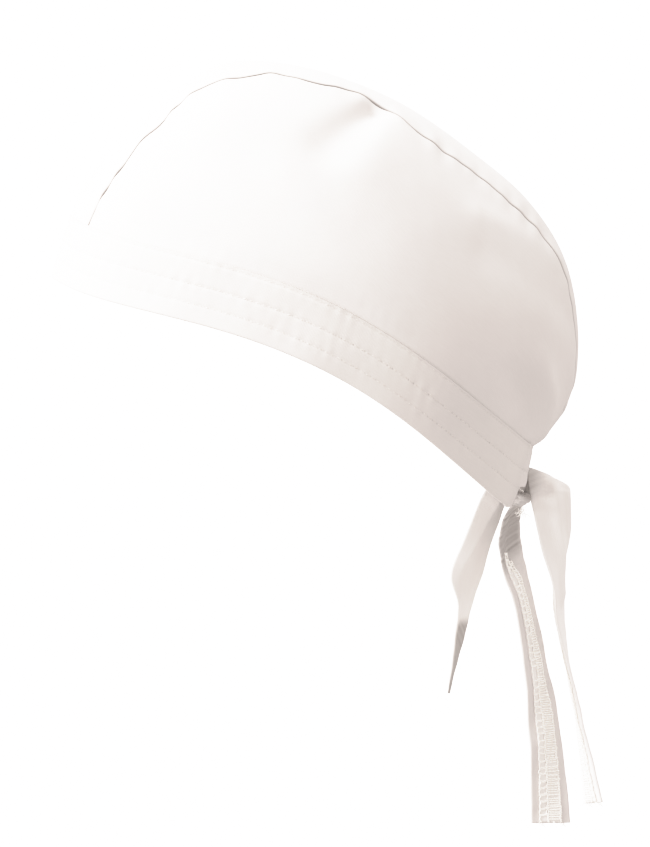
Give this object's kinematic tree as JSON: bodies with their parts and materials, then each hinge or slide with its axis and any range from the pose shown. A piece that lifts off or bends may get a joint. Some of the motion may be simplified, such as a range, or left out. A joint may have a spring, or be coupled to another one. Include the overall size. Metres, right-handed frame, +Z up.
{
  "type": "bandana-style chef hat",
  "caption": "White cotton bandana-style chef hat in its worn shape: side panels joined by a centre strip over a stitched headband, knotted at the back with hanging ties and a tail.",
  "frame": {"origin": "where the top of the wearer's head meets the inside of the crown, on the centre line: the highest point of the crown's inner face in the worn pose", "axes": "+Z up as worn, -Y to the front of the hat, +X to the wearer's left; the rim's plane is tilted about X with its front high, as worn"},
  "size_m": [0.1534, 0.2338, 0.3231],
  "materials": {
    "crown_cotton": "bleached cotton poplin, plain weave, soft and matt with light creases",
    "band_cotton": "bleached cotton poplin in several layers, lockstitched in rows, overlocked on the inner side of the ties",
    "thread": "white spun polyester sewing thread, slightly glossier than the cloth"
  },
  "bodies": {
    "root": {"crown_left": "crown_cotton", "crown_right": "crown_cotton", "crown_strip": "crown_cotton", "headband": "band_cotton", "knot": "band_cotton", "tie_left": "band_cotton", "tie_right": "band_cotton", "back_tail": "crown_cotton"}
  },
  "joints": []
}
